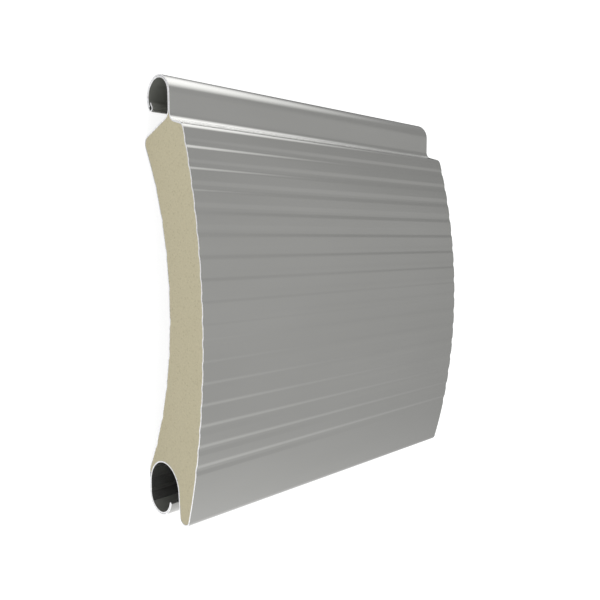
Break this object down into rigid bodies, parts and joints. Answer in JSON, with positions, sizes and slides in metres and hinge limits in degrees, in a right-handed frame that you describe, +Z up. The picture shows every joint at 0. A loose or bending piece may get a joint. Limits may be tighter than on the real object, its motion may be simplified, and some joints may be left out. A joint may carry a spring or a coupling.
{
  "type": "roller shutter slat",
  "caption": "Short length of a foam-filled roll-formed slat: arched grooved front, hollow back, open tube along the top edge and open hook along the bottom edge.",
  "frame": {"origin": "bottom centre of the box round the slat as it lies on its back: the floor level, under the middle of its length and width", "axes": "+X along the length, +Y across the slat towards the edge with the tube, +Z up out of the grooved front face"},
  "size_m": [0.083, 0.088, 0.0195],
  "materials": {
    "coated_aluminium": "satin grey coil coating, bare bright metal at the cut ends",
    "rigid_foam": "sawn fine-celled foam, matt buff"
  },
  "bodies": {
    "root": {"aluminium_skin": "coated_aluminium", "foam_core": "rigid_foam"}
  },
  "joints": []
}
